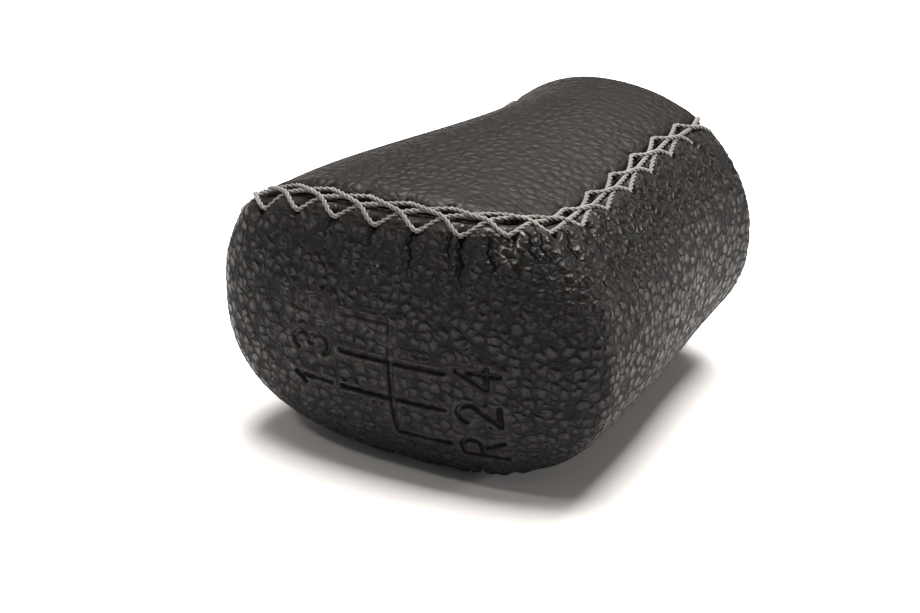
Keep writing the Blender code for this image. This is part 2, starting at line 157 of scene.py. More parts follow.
def skinHeight(x, y, side):
    u = upright(x, y)
    middle, depth, half, squareness = sectionAt(u)
    share = capShare(u)
    across = np.clip(np.abs(x - middle) / (depth * share), 0, 1)
    return np.stack([x, y, side * share * half * (1 - across**squareness) ** (1 / squareness)], -1)


def intoFrame(p):
    return (np.asarray(p) + (middleX, crownY, middleZ)) * mm


def smoothStep(low, high, value):
    t = np.clip((value - low) / (high - low), 0, 1)
    return t * t * (3 - 2 * t)


def arcLength(points):
    gaps = np.linalg.norm(np.diff(points, axis=0), axis=1)
    return np.concatenate([[0], np.cumsum(gaps)])


def onLine(at, marks, points):
    return np.stack([np.interp(at, marks, column) for column in points.T], -1)


def resampled(points, count):
    marks = arcLength(points)
    return onLine(np.linspace(0, marks[-1], count), marks, points)


# Seam between the wrap and a side panel

seamForm = dict(
    crown=5.0,            # below the crown's middle
    bowRadius=83.0,
    lowX=-3.5,
    leftDrop=6.0,
    frontInset=3.0,
    backInsetCrown=11.9,
    backInsetEnd=8.6,
    frontCorner=5.0,
    backCorner=9.0,
    end=63.6,
    gapShift=-0.6,        # the open joint lies nearer the panel's row of holes
    gap=0.22,
    ditchDepth=0.5,
    ditchWidth=0.55,
    rimDepth=1.1,
    rimOut=0.04,
    rimShares=(0.45, 1.0),
    runPoints=80,         # points along each straight run of the line
    bendPoints=40,
)


def crownSeam(x, side):
    drop = seamForm["leftDrop"] if side < 0 else 0
    bow = (x - seamForm["lowX"]) ** 2 / (2 * seamForm["bowRadius"])
    return seamForm["crown"] + drop + bow + knobForm["tilt"] * x


def backSeam(y):
    crownInset, endInset = seamForm["backInsetCrown"], seamForm["backInsetEnd"]
    return along(backSpline, y) - (crownInset + (endInset - crownInset) * y / knobForm["length"])


def frontSeam(y):
    return along(frontSpline, y) + seamForm["frontInset"]


def seamCorner(edge, side):
    y = seamForm["crown"]
    for _ in range(12):
        x = edge(y)
        y = crownSeam(x, side)
    return np.array([float(x), float(y)])


def bend(before, corner, after, count):
    t = np.linspace(0, 1, count)[1:-1, None]
    return before * (1 - t) ** 2 + corner * 2 * t * (1 - t) + after * t**2


def seamParts(side):
    # side view of one seam in five runs: front, bend, crown, bend, back
    end, count, bendCount = seamForm["end"], seamForm["runPoints"], seamForm["bendPoints"]
    front, back = seamCorner(frontSeam, side), seamCorner(backSeam, side)
    y = np.linspace(end, front[1] + seamForm["frontCorner"], count)
    rise = np.stack([frontSeam(y), y], -1)
    x = np.linspace(front[0] + seamForm["frontCorner"], back[0] - seamForm["backCorner"], count)
    crown = np.stack([x, crownSeam(x, side)], -1)
    y = np.linspace(back[1] + seamForm["backCorner"], end, count)
    fall = np.stack([backSeam(y), y], -1)
    frontBend = bend(rise[-1], front, crown[0], bendCount)
    return rise, frontBend, crown, bend(crown[-1], back, fall[0], bendCount), fall


def shifted(line, distance):
    # moves a side-view line towards the wrap
    run = unit(np.gradient(line, axis=0))
    return line + np.stack([run[:, 1], -run[:, 0]], -1) * distance


class Seam:
    # one seam as skin points, with the length counted from the back corner

    def __init__(self, side, shift=0.0):
        self.side = side
        parts = seamParts(side)
        line = shifted(np.concatenate(parts), shift)
        self.counts = [len(p) for p in parts]
        self.line = line
        self.points = skinHeight(line[:, 0], line[:, 1], side)
        self.marks = arcLength(self.points)
        corner = seamCorner(backSeam, side)
        self.zero = self.marks[int(np.argmin(np.linalg.norm(line - corner, axis=1)))]
        self.first, self.last = -self.zero, self.marks[-1] - self.zero

    def at(self, s):
        return onLine(s + self.zero, self.marks, self.points)

    def place(self, s, across, lift, probe=0.4):
        # s along the seam, across towards the wrap, lift off the skin
        s, across, lift = np.broadcast_arrays(*(np.asarray(v, float) for v in (s, across, lift)))
        p = self.at(s)
        run = self.at(s + probe) - self.at(s - probe)
        n = skinNormals(p)
        out = unit(np.cross(run, n) * self.side)
        p = ontoSkin(p + out * across[..., None])
        return p + skinNormals(p) * lift[..., None]


# Hand lacing: holes of both rows, the same on both seams

laceForm = dict(
    thread=0.56,
    rowGap=3.8,
    crownPitch=6.35,
    backPitch=7.1,
    pitchChange=(-4, 14),
    upperFirst=-5.1,      # a hole of the panel's row beside the back corner
    lead=1.9,             # how far the wrap's row is ahead of the panel's
    backLead=-0.5,
    leadChange=(-8, 8),
    endMargin=0.5,
    overLift=0.66,
    underLift=0.34,
    humpPower=0.7,
    cornerLift=0.35,      # the gathers below the back corner lift the thread
    cornerPlace=-2,
    cornerReach=8,
    cornerSide=(-0.5, 1.5),
    crownSlow=0.59,       # on the crown a strand keeps back this long, then turns across
    crownTurn=0.62,
    backBow=0.11,
    courseChange=(-2, 12),
    plunge=0.6,
    holeLift=0.08,
    pressedLift=0.6,      # share of the lift left where the knob lies on the thread
    floorGap=0.03,
    strandPoints=44,
    twistPitch=2.7,
    lobes=3,
    lobeDepth=0.3,
    ringPoints=12,
    ringStep=0.13,
)


def lacePitch(s):
    crown, back = laceForm["crownPitch"], laceForm["backPitch"]
    return crown + (back - crown) * smoothStep(*laceForm["pitchChange"], s)


def laceHoles(seam):
    # arc lengths of the panel's holes and of the wrap's holes
    first, last = seam.first + laceForm["endMargin"], seam.last - laceForm["endMargin"]
    upper = [laceForm["upperFirst"]]
    while upper[-1] + lacePitch(upper[-1]) < last:
        upper.append(upper[-1] + lacePitch(upper[-1]))
    while upper[0] - laceForm["crownPitch"] > first:
        upper.insert(0, upper[0] - laceForm["crownPitch"])
    upper = np.array(upper)
    change = smoothStep(*laceForm["leadChange"], upper)
    lead = laceForm["lead"] + (laceForm["backLead"] - laceForm["lead"]) * change
    return upper, np.clip(upper + lead, first, last)


seams = {side: Seam(side) for side in (1, -1)}
holes = {side: laceHoles(seam) for side, seam in seams.items()}
print("seams ready, %d holes in a row" % len(holes[1][0]))


# Relief that the lacing pulls into the leather, and painted shade round its holes, from the place (s, d)
# beside a seam

reliefForm = dict(
    holeRadius=0.48,
    holeDepth=0.7,
    holeOut=0.15,         # the hole's middle lies this far outside its row
    holeLength=0.8,       # below one the hole is longer across the seam
    holeSpread=0.75,
    panelHoleRadius=0.42,
    panelHoleDepth=0.5,
    panelHoleOut=0.1,
    panelHoleSpread=0.8,
    puff=0.5,
    puffTop=1.5,
    puffRise=1.7,
    puffReach=2.6,
    puffPower=0.75,
    cornerPuff=0.35,
    cornerPlace=-1.5,
    cornerSpread=9,
    cornerReach=1.1,
    panelPuff=0.22,
    panelPuffTop=2.6,
    panelPuffReach=1.6,
    panelPuffLength=0.36,
    creaseDepth=0.42,
    creaseWidth=0.32,
    creaseWiden=0.4,
    shoulder=0.55,        # height of the leather pushed up beside a fold
    shoulderPlace=2.8,
    shoulderWidth=1.6,
    wander=((0.2, 1.9), (0.08, 5.1)),     # sideways bends of the folds, size and rate
    smoothFrom=0.8,
    smoothReach=2.4,      # the grain is pulled flat this far beside the seam
    scuffLine=0.12,
    scuffs=(
        (-3.9, -3.5, 1.6, 4.2, 0.9), (-2.9, -3.3, 2.4, 5.4, 0.8), (-4.6, -4.2, 3.6, 6.6, 0.6),
        (-2.2, -2.4, 1.4, 2.6, 0.6),
    ),
    creaseLine=0.11,      # half width of the painted shade line at the bottom of a fold
    # start along the seam, end along it, first and last distance from it, strength
    creases=(
        (-29.3, -29.0, 2.2, 5.2, 0.35), (-22.7, -22.4, 2.4, 6.0, 0.45), (-16.8, -16.5, 2.4, 9.3, 0.85),
        (-11.2, -10.9, 2.3, 6.8, 0.9), (-9.7, -9.3, 2.3, 9.8, 1.0), (-6.2, -5.6, 2.2, 8.2, 0.9),
        (-1.8, -1.4, 2.0, 6.3, 0.8), (-0.6, -0.4, 1.8, 7.3, 0.95), (3.1, 1.8, 1.6, 8.6, 1.0),
        (7.5, 4.9, 1.6, 8.9, 0.8), (11.3, 7.7, 2.0, 7.6, 0.7), (17.0, 15.0, 2.1, 6.0, 0.45),
        (24.0, 23.0, 2.2, 5.2, 0.3),
    ),
)


def creaseFolds(s, d):
    # valleys of the folds and the shoulders beside them
    f = reliefForm
    height = np.zeros_like(s)
    wander = sum(size * np.sin(d * rate) for size, rate in f["wander"])
    for s0, s1, d0, d1, strength in f["creases"]:
        t = (d - d0) / (d1 - d0)
        way = np.clip(t, 0, 1)
        away = s + wander - (s0 + (s1 - s0) * way)
        fade = smoothStep(-0.2, 0.05, t) * (1 - smoothStep(0.4, 1.0, t))
        width = f["creaseWidth"] * (1 + f["creaseWiden"] * way)
        valley = -np.exp(-(away / width) ** 2)
        beside = (np.abs(away) - f["shoulderPlace"] * width) / (f["shoulderWidth"] * width)
        height += strength * f["creaseDepth"] * fade * (valley + f["shoulder"] * np.exp(-beside**2))
    return height


def needleHoles(s, d, places, radius, depth, spread):
    # how deep the holes of one row are and how much painted shade lies round them, d counted from the row
    height, dark = np.zeros_like(s), np.zeros_like(s)
    for s0 in places:
        r = np.hypot(s - s0, d) / radius
        height -= depth * np.exp(-r**2)
        dark = np.maximum(dark, np.exp(-(r / spread) ** 2))
    return height, dark


def wrapRelief(s, d, side):
    f, lower = reliefForm, holes[side][1]
    corner = np.exp(-((s - f["cornerPlace"]) / f["cornerSpread"]) ** 2)
    reach = f["puffReach"] * (1 + f["cornerReach"] * corner)
    fall = np.exp(-((d - f["puffTop"]) / np.where(d > f["puffTop"], reach, f["puffRise"])) ** 2)
    between = np.interp(s, lower, np.arange(len(lower))) % 1.0
    lobe = np.abs(np.sin(np.pi * between)) ** f["puffPower"]
    laced = (s > lower[0]) & (s < lower[-1])
    puffs = np.where(laced, lobe, 0) * fall * (f["puff"] + f["cornerPuff"] * corner)
    across = (d - laceForm["rowGap"] / 2 - f["holeOut"]) * f["holeLength"]
    height, dark = needleHoles(s, across, lower, f["holeRadius"], f["holeDepth"], f["holeSpread"])
    return creaseFolds(s, d) + puffs + height, dark


def panelRelief(s, d, side):
    f, upper = reliefForm, holes[side][0]
    across = d + laceForm["rowGap"] / 2 + f["panelHoleOut"]
    radius, depth, spread = f["panelHoleRadius"], f["panelHoleDepth"], f["panelHoleSpread"]
    height, dark = needleHoles(s, across, upper, radius, depth, spread)
    for s0, pitch in zip((upper[1:] + upper[:-1]) / 2, np.diff(upper)):
        lobe = np.exp(-((s - s0) / (f["panelPuffLength"] * pitch)) ** 2)
        height += f["panelPuff"] * lobe * np.exp(-((d + f["panelPuffTop"]) / f["panelPuffReach"]) ** 2)
    return height, dark


def ditch(away):
    # both edges roll down into the joint
    return -seamForm["ditchDepth"] * np.exp(-(away / seamForm["ditchWidth"]) ** 2)


# Shift pattern pressed into the crown

gateForm = dict(
    columns=(("", "R"), ("1", "2"), ("3", "4"), ("5", "")),
    strength=(1.0, 1.0, 0.9, 0.35),
    signStrength={"R": 1.0, "2": 0.9, "4": 0.8, "1": 0.9, "3": 0.6, "5": 0.3},
    pitch=6.1,
    throw=7.9,
    line=0.9,
    depth=0.55,
    edge=0.36,
    crispEdge=0.16,
    neutralX=0.5,
    offset=4.4,
    digitHeight=6.0,
    digitWidth=3.3,
    digitGap=1.9,
    stroke=0.82,
    neutral=(0.75, 0.35),     # strength of the cross line, up to the last column and beyond
    farAway=9.0,
    crownDepth=9,             # the pattern is only looked for on this part of the skin
    crownHalf=22,
    softening=(0.2, 1.6),     # the grain comes back between these distances from a line
)


def arcPoints(cx, cy, rx, ry, start, end, count=12):
    turn = np.radians(np.linspace(start, end, count))
    return [(cx + rx * math.cos(a), cy + ry * math.sin(a)) for a in turn]


# strokes of each sign in a box one wide and one tall, from its lower left corner
signStrokes = {
    "1": [[(0.15, 0.78), (0.55, 1.0), (0.55, 0.0)]],
    "2": [arcPoints(0.5, 0.72, 0.46, 0.28, 165, -35) + [(0.04, 0.0), (0.98, 0.0)]],
    "3": [arcPoints(0.46, 0.745, 0.42, 0.255, 150, -90) + arcPoints(0.46, 0.265, 0.48, 0.265, 90, -150)],
    "4": [[(0.74, 0.0), (0.74, 1.0), (0.02, 0.30), (1.0, 0.30)]],
    "5": [[(0.9, 1.0), (0.2, 1.0), (0.12, 0.55)] + arcPoints(0.46, 0.33, 0.46, 0.33, 120, -145)],
    "R": [[(0.06, 0.0), (0.06, 1.0), (0.5, 1.0)] + arcPoints(0.56, 0.76, 0.38, 0.24, 90, -90)
          + [(0.06, 0.52)], [(0.5, 0.52), (0.98, 0.0)]],
}


def gateLines():
    # all pressed lines as (x, z) pairs with their half width and how hard they are pressed
    g = gateForm
    half, count = g["line"] / 2, len(g["columns"])
    firstZ = -g["offset"] - (count - 1) / 2 * g["pitch"]
    lastZ = firstZ + (count - 1) * g["pitch"]
    turnZ = lastZ - g["pitch"]
    neutral = g["neutralX"]
    lines = [([(neutral, firstZ), (neutral, turnZ)], half, g["neutral"][0]),
             ([(neutral, turnZ), (neutral, lastZ)], half, g["neutral"][1])]
    reach = g["throw"] + g["digitGap"] + g["digitHeight"] / 2
    for i, (front, back) in enumerate(g["columns"]):
        z = firstZ + i * g["pitch"]
        start = neutral - (g["throw"] if front else 0)
        end = neutral + (g["throw"] if back else 0)
        lines.append(([(start, z), (end, z)], half, g["strength"][i]))
        for sign, x in ((front, neutral - reach), (back, neutral + reach)):
            for stroke in signStrokes.get(sign, []):
                points = [(x - (v - 0.5) * g["digitHeight"], z + (u - 0.5) * g["digitWidth"])
                          for u, v in stroke]
                lines.append((points, g["stroke"] / 2, g["signStrength"][sign]))
    return lines


def distanceToLine(x, z, points):
    best = np.full(x.shape, 1e9)
    for (x0, z0), (x1, z1) in zip(points, points[1:]):
        dx, dz = x1 - x0, z1 - z0
        t = np.clip(((x - x0) * dx + (z - z0) * dz) / (dx * dx + dz * dz), 0, 1)
        best = np.minimum(best, np.hypot(x - x0 - dx * t, z - z0 - dz * t))
    return best


def pressedPattern(p):
    # how far each crown point lies from the edge of the nearest pressed line, and that line's strength
    away, strength = np.full(p.shape[:-1], gateForm["farAway"]), np.zeros(p.shape[:-1])
    near = (p[..., 1] < gateForm["crownDepth"]) & (np.abs(p[..., 0]) < gateForm["crownHalf"])
    x, z = p[near][:, 0], p[near][:, 2]
    nearest, hard = np.full(x.shape, gateForm["farAway"]), np.zeros(x.shape)
    for points, half, lineStrength in gateLines():
        gap = distanceToLine(x, z, points) - half
        hard = np.where(gap < nearest, lineStrength, hard)
        nearest = np.minimum(nearest, gap)
    away[near], strength[near] = nearest, hard
    return away, strength


# Leather skins

wrapForm = dict(
    columns=190,
    rows={"front": 104, "frontBend": 36, "crown": 150, "backBend": 56, "back": 108},
    baseRows=14,
    baseTurn=1.05,
    baseFade=0.2,
    fanDepth=12.0,
    fanFrom=2.0,
    fanTo=60.0,
    evenPasses=40,
    guessColumns=61,
    neckRadius=12.9,
    neckDepth=12,
)
panelForm = dict(
    columns=150,
    rows=190,
    baseRows=12,
    pressed=0.8,
)


def baseRing(edge, rows):
    # carries an edge row over the rounding of the lever end to the collar's neck
    centre = np.array([knobForm["leverX"], 0.0])
    flat = edge[:, (0, 2)] - centre
    radius = np.linalg.norm(flat, axis=1)
    turn = np.linspace(0, wrapForm["baseTurn"], rows + 1)[1:]
    inward = 1 - np.cos(turn) ** (2 / knobForm["capPower"])
    inward /= inward[-1]
    result = []
    for share in inward:
        r = radius + (wrapForm["neckRadius"] - radius) * share
        xz = centre + flat * (r / radius)[:, None]
        low = np.full(len(xz), knobForm["length"] - wrapForm["neckDepth"])
        start = np.stack([xz[:, 0], low, xz[:, 1]], -1)
        result.append(castOut(start, np.tile((0.0, 1.0, 0.0), (len(xz), 1)), 0.0, 14.0))
    return result


def gridFaces(rows, columns, flip=False):
    i, j = np.meshgrid(np.arange(rows - 1), np.arange(columns - 1), indexing="ij")
    a = (i * columns + j).ravel()
    quad = np.stack([a, a + 1, a + columns + 1, a + columns], -1)
    return quad[:, ::-1] if flip else quad


def placed(name, data):
    # a new object in the scene
    made = bpy.data.objects.new(name, data)
    bpy.context.scene.collection.objects.link(made)
    return made


def paint(mesh, material):
    mesh.materials.clear()
    mesh.materials.append(material)
    mesh.shade_smooth()


def meshFrom(name, points, faces, attributes):
    mesh = bpy.data.meshes.new(name)
    mesh.from_pydata(intoFrame(points).tolist(), [], faces.tolist())
    for label, values in attributes.items():
        layer = mesh.attributes.new(label, "FLOAT", "POINT")
        layer.data.foreach_set("value", np.asarray(values, np.float32).ravel())
    mesh.update()
    return placed(name, mesh)


def padded(values, fade):
    # goes on past the first and the last row, times fade
    return np.concatenate([values[:1] * fade[::-1, None], values, values[-1:] * fade[:, None]])


def doubledEdges(values):
    # the same at the two rim columns of each edge
    return np.concatenate([values[:, :1], values[:, :1], values, values[:, -1:], values[:, -1:]], 1)


def turnedDown(edge, inner, share):
    # carries an edge down into the joint
    out = unit(edge - inner)
    return edge - skinNormals(edge) * (seamForm["rimDepth"] * share) + out * seamForm["rimOut"]


def edgeRow(seam):
    # an edge of the wrap, evenly spaced run by run, with its arc length as fourth column
    marked = np.column_stack([seam.points, seam.marks])
    starts = np.concatenate([[0], np.cumsum(seam.counts)])
    parts = []
    for k, count in enumerate(wrapForm["rows"].values()):
        first, last = starts[k], min(starts[k + 1], starts[-1] - 1)
        parts.append(resampled(marked[first:last + 1], count + 1)[:-1])
    return np.concatenate(parts + [marked[-1:]])


def turnedBetween(a, b, t):
    angle = np.arccos(np.clip((a * b).sum(-1, keepdims=True), -1, 1))
    return (np.sin((1 - t) * angle) * a + np.sin(t * angle) * b) / np.sin(angle)


def wrapSkin(right, left):
    # grid over the outside from the right edge to the left edge, and each row's length
    middle = (right + left) / 2
    middle[:, 2] = 0
    run = np.gradient(middle, axis=0)
    for _ in range(wrapForm["evenPasses"]):      # even the turning out so the fan has no jumps
        run[1:-1] = (run[:-2] + 2 * run[1:-1] + run[2:]) / 4
    run = unit(run)
    out = np.stack([run[:, 1], -run[:, 0], np.zeros(len(run))], -1)
    centre = middle - out * wrapForm["fanDepth"]
    toRight, toLeft = unit(right - centre), unit(left - centre)

    def cast(v, steps):
        first = turnedBetween(toRight[:, None], out[:, None], np.clip(v * 2, 0, 1)[..., None])
        second = turnedBetween(out[:, None], toLeft[:, None], np.clip(v * 2 - 1, 0, 1)[..., None])
        fan = np.where(v[..., None] < 0.5, first, second)
        return castOut(centre[:, None], fan, wrapForm["fanFrom"], wrapForm["fanTo"], steps)

    rows = len(right)
    coarse = np.tile(np.linspace(0, 1, wrapForm["guessColumns"]), (rows, 1))
    gaps = np.linalg.norm(np.diff(cast(coarse, 20), axis=1), axis=2)
    marks = np.concatenate([np.zeros((rows, 1)), np.cumsum(gaps, axis=1)], 1)
    share = np.linspace(0, 1, wrapForm["columns"])
    even = np.stack([np.interp(share * marks[i, -1], marks[i], coarse[i]) for i in range(rows)])
    skin = cast(even, 26)
    skin[:, 0], skin[:, -1] = right, left
    return skin, share, marks[:, -1:]


def makeWrap():
    shift = seamForm["gapShift"]
    rightRow, leftRow = (edgeRow(Seam(side, shift + seamForm["gap"] / 2)) for side in (1, -1))
    skin, share, length = wrapSkin(rightRow[:, :3], leftRow[:, :3])
    dRight = share[None] * length + shift
    dLeft = (1 - share[None]) * length + shift
    sRight = np.repeat(rightRow[:, 3:] - seams[1].zero, len(share), 1)
    sLeft = np.repeat(leftRow[:, 3:] - seams[-1].zero, len(share), 1)
    # dark is painted shade round the holes of both seams
    height, dark = wrapRelief(sRight, dRight, 1)
    leftHeight, leftShade = wrapRelief(sLeft, dLeft, -1)
    height += leftHeight
    dark = np.maximum(dark, leftShade)
    height += ditch(dRight - shift) + ditch(dLeft - shift)
    away, strength = pressedPattern(skin)
    height -= gateForm["depth"] * strength * (1 - smoothStep(-gateForm["edge"], 0.1, away))
    pressed = 1 - smoothStep(*gateForm["softening"], away)
    beside = np.maximum(np.minimum(dRight, dLeft) - reliefForm["smoothFrom"], 0)
    near = np.exp(-(beside / reliefForm["smoothReach"]) ** 2)

    extra = wrapForm["baseRows"]
    front, back = baseRing(skin[0], extra), baseRing(skin[-1], extra)
    grid = np.concatenate([np.array(front[::-1]), skin, np.array(back)])
    fade = np.linspace(1, wrapForm["baseFade"], extra + 1)[1:]
    same, none = np.ones(extra), np.zeros(extra)
    nearer = dRight < dLeft
    marks = {
        "pressed": padded(pressed, fade),
        "nearSeam": padded(near, fade),
        # painted shade round the holes
        "creaseShade": padded(np.clip(dark, 0, 1), fade),
        "seamS": padded(np.where(nearer, sRight, sLeft), same),
        "seamD": padded(np.where(nearer, dRight, dLeft), same),
        "pressAway": padded(np.clip(away, -1, 3), same),
        "pressHard": padded(strength, none),
    }
    points = grid + skinNormals(grid) * padded(height, fade)[..., None]
    shallow, deep = seamForm["rimShares"]
    firstRim = [turnedDown(points[:, 0], points[:, 1], down) for down in (deep, shallow)]
    lastRim = [turnedDown(points[:, -1], points[:, -2], down) for down in (shallow, deep)]
    points = np.concatenate([np.stack(firstRim, 1), points, np.stack(lastRim, 1)], 1)
    faces = gridFaces(*points.shape[:2], flip=True)
    return meshFrom("leatherWrap", points.reshape(-1, 3), faces,
                    {label: doubledEdges(values) for label, values in marks.items()})


def nearestOnSeam(points, seam, step=0.15):
    fine = np.arange(seam.first, seam.last, step)
    curve = seam.at(fine)
    tree = KDTree(len(curve))
    for i, p in enumerate(curve):
        tree.insert(p, i)
    tree.balance()
    hits = [tree.find(p) for p in points]
    return fine[np.array([hit[1] for hit in hits])], np.array([hit[2] for hit in hits])


def panelSkin(seam, side):
    # grid stretched between the seam and the lever end
    line = seam.line
    starts = np.concatenate([[0], np.cumsum(seam.counts)])
    firstTurn = starts[1] + seam.counts[1] // 2
    lastTurn = starts[3] + seam.counts[3] // 2
    columns, rows = panelForm["columns"], panelForm["rows"]
    front = resampled(line[:firstTurn + 1][::-1], rows)
    top = resampled(line[firstTurn:lastTurn + 1], columns)
    back = resampled(line[lastTurn:], rows)
    bottom = np.linspace(front[-1], back[-1], columns)
    u = np.linspace(0, 1, columns)[None, :, None]
    w = np.linspace(0, 1, rows)[:, None, None]
    flat = (1 - w) * top[None] + w * bottom[None] + (1 - u) * front[:, None] + u * back[:, None]
    flat -= (1 - w) * ((1 - u) * top[0] + u * top[-1]) + w * ((1 - u) * bottom[0] + u * bottom[-1])
    return skinHeight(flat[..., 0], flat[..., 1], side)


def openEdge(grid):
    # the three edges of a grid that lie on the seam, from the end of one leg to the other's
    return np.concatenate([grid[::-1, 0], grid[0, 1:-1], grid[:, -1]])


def makePanel(name, side):
    seam = Seam(side, seamForm["gapShift"] - seamForm["gap"] / 2)
    skin = panelSkin(seam, side)
    s, gap = nearestOnSeam(skin.reshape(-1, 3), seam)
    s, gap = s.reshape(skin.shape[:2]), gap.reshape(skin.shape[:2])
    height, dark = panelRelief(s, seamForm["gapShift"] - gap, side)
    height += ditch(gap)
    near = np.exp(-(gap / reliefForm["smoothReach"]) ** 2)
    grid = np.concatenate([skin, np.array(baseRing(skin[-1], panelForm["baseRows"]))])
    fade = np.linspace(1, wrapForm["baseFade"], panelForm["baseRows"] + 1)[1:]
    height, near, dark = (np.concatenate([values, values[-1:] * fade[:, None]])
                          for values in (height, near, dark))
    points = grid + skinNormals(grid) * height[..., None]
    ring = openEdge(points)
    inner = np.concatenate([points[::-1, 1], points[1, 1:-1], points[:, -2]])
    rims = [turnedDown(ring, inner, share) for share in seamForm["rimShares"]]
    count, m = points.shape[0] * points.shape[1], len(ring)
    edge = openEdge(np.arange(count).reshape(points.shape[:2]))
    lines = edge, count + np.arange(m), count + m + np.arange(m)
    strip = np.concatenate([np.stack([top[:-1], top[1:], low[1:], low[:-1]], -1)
                            for top, low in zip(lines, lines[1:])])
    faces = gridFaces(*points.shape[:2], flip=side < 0)
    faces = np.concatenate([faces, strip if side > 0 else strip[:, ::-1]])
    ones = np.ones(2 * m)
    # the rims turned down into the joint carry full painted shade
    return meshFrom(name, np.concatenate([points.reshape(-1, 3)] + rims), faces, {
        "nearSeam": np.append(near.ravel(), ones),
        "pressed": np.append(panelForm["pressed"] * near.ravel() ** 2, ones),
        "creaseShade": np.append(dark.ravel(), ones)})


# Node trees

class Graph:
    # short ways to add nodes to one tree; a call returns the new node's output

    def __init__(self, tree):
        self.tree = tree

    def wire(self, made, links):
        for socket, source in links.items():
            if isinstance(source, bpy.types.NodeSocket):
                self.tree.links.new(source, made.inputs[socket])
            else:
                made.inputs[socket].default_value = source

    def add(self, kind, links=None, out=0, **settings):
        made = self.tree.nodes.new(kind)
        for key, value in settings.items():
            setattr(made, key, value)
        self.wire(made, links or {})
        return made.outputs[out]

    def math(self, operation, *terms, clamp=False):
        return self.add("ShaderNodeMath", dict(enumerate(terms)), operation=operation, use_clamp=clamp)

    def times(self, a, b):
        return self.math("MULTIPLY", a, b)

    def line(self, value, slope, start, clamp=False):
        return self.math("MULTIPLY_ADD", value, slope, start, clamp=clamp)

    def vector(self, operation, a, b):
        links = {0: a, "Scale" if operation == "SCALE" else 1: b}
        return self.add("ShaderNodeVectorMath", links, operation=operation)

    def map(self, value, fromMin, fromMax, toMin=0.0, toMax=1.0, curve="LINEAR"):
        links = {"Value": value, "From Min": fromMin, "From Max": fromMax, "To Min": toMin, "To Max": toMax}
        return self.add("ShaderNodeMapRange", links, interpolation_type=curve)

    def noise(self, place, scale, detail, out="Fac"):
        return self.add("ShaderNodeTexNoise", {"Vector": place, "Scale": scale, "Detail": detail}, out)

    def cells(self, place, density, feature, **more):
        links = {"Vector": place, "Scale": density, "Randomness": grainForm["randomness"], **more}
        return self.add("ShaderNodeTexVoronoi", links, "Distance", feature=feature)

    def mix(self, share, first, second, blend="MIX"):
        links = {0: share, 6: first, 7: second}
        return self.add("ShaderNodeMix", links, 2, data_type="RGBA", blend_type=blend)

    def mark(self, name):
        # what the skins and threads carry at each point
        if self.tree.type == "GEOMETRY":
            return self.add("GeometryNodeInputNamedAttribute", {"Name": name}, data_type="FLOAT")
        return self.add("ShaderNodeAttribute", None, "Fac", attribute_name=name)

    def coords(self):
        return self.add("ShaderNodeTexCoord", None, "Object")

    def bump(self, strength, distance, height):
        links = {"Strength": strength, "Distance": distance, "Height": height}
        return self.add("ShaderNodeBump", links, "Normal")

    def ramp(self, source, stops):
        made = self.add("ShaderNodeValToRGB", {"Fac": source}, "Color")
        elements = made.node.color_ramp.elements
        while len(elements) < len(stops):
            elements.new(0.5)
        for element, (position, colour) in zip(elements, stops):
            element.position = position
            element.color = (*colour[:3], 1)
        return made

    def bent(self, place):
        # the leather's coordinates with a wobble, so that no furrow runs straight
        wobble = self.noise(place, grainForm["bendScale"], 1.0, "Color")
        centred = self.vector("SUBTRACT", wobble, (0.5, 0.5, 0.5))
        return self.vector("ADD", place, self.vector("SCALE", centred, grainForm["bend"]))

    def finish(self, geometry, material):
        real = self.add("GeometryNodeRealizeInstances", {"Geometry": geometry})
        painted = self.add("GeometryNodeSetMaterial", {"Geometry": real, "Material": material})
        self.tree.links.new(painted, self.tree.nodes.new("NodeGroupOutput").inputs[0])
        return self.tree


def newTree(name, inputs):
    tree = bpy.data.node_groups.new(name, "GeometryNodeTree")
    tree.interface.new_socket("Geometry", in_out="INPUT", socket_type="NodeSocketGeometry")
    for label, value in inputs.items():
        kind = "NodeSocketInt" if isinstance(value, int) else "NodeSocketFloat"
        tree.interface.new_socket(label, in_out="INPUT", socket_type=kind).default_value = value
    tree.interface.new_socket("Material", in_out="INPUT", socket_type="NodeSocketMaterial")
    tree.interface.new_socket("Geometry", in_out="OUTPUT", socket_type="NodeSocketGeometry")
    return Graph(tree), tree.nodes.new("NodeGroupInput").outputs


mergeDistance = 0.003 * mm


def joinPoints(mesh):
    # points that fell together where two edges meet become one
    joined = bmesh.new()
    joined.from_mesh(mesh)
    bmesh.ops.remove_doubles(joined, verts=joined.verts, dist=mergeDistance)
    joined.to_mesh(mesh)
    joined.free()


def bakeNodes(obj, tree, values, material):
    # runs the tree on obj and keeps the result as a plain mesh
    modifier = obj.modifiers.new(tree.name, "NODES")
    modifier.node_group = tree
    for item in tree.interface.items_tree:
        if item.in_out == "INPUT" and item.name in values:
            modifier[item.identifier] = values[item.name]
    depsgraph = bpy.context.evaluated_depsgraph_get()
    mesh = bpy.data.meshes.new_from_object(obj.evaluated_get(depsgraph), depsgraph=depsgraph)
    obj.modifiers.remove(modifier)
    made = placed(obj.name, mesh)
    bpy.data.objects.remove(obj)
    made.name = mesh.name = made.name.split(".")[0]
    paint(mesh, material)
    mesh.polygons.foreach_set("material_index", np.zeros(len(mesh.polygons), np.int32))
    return made


grainForm = dict(
    cellSize=1.6 * mm,
    height=0.19 * mm,
    panelShare=0.22,      # how much of the height the side panels have
    randomness=0.75,
    bendScale=700.0,
    bend=0.0011,
    furrow=-2.2,          # how steeply a pebble rises from its edge
)


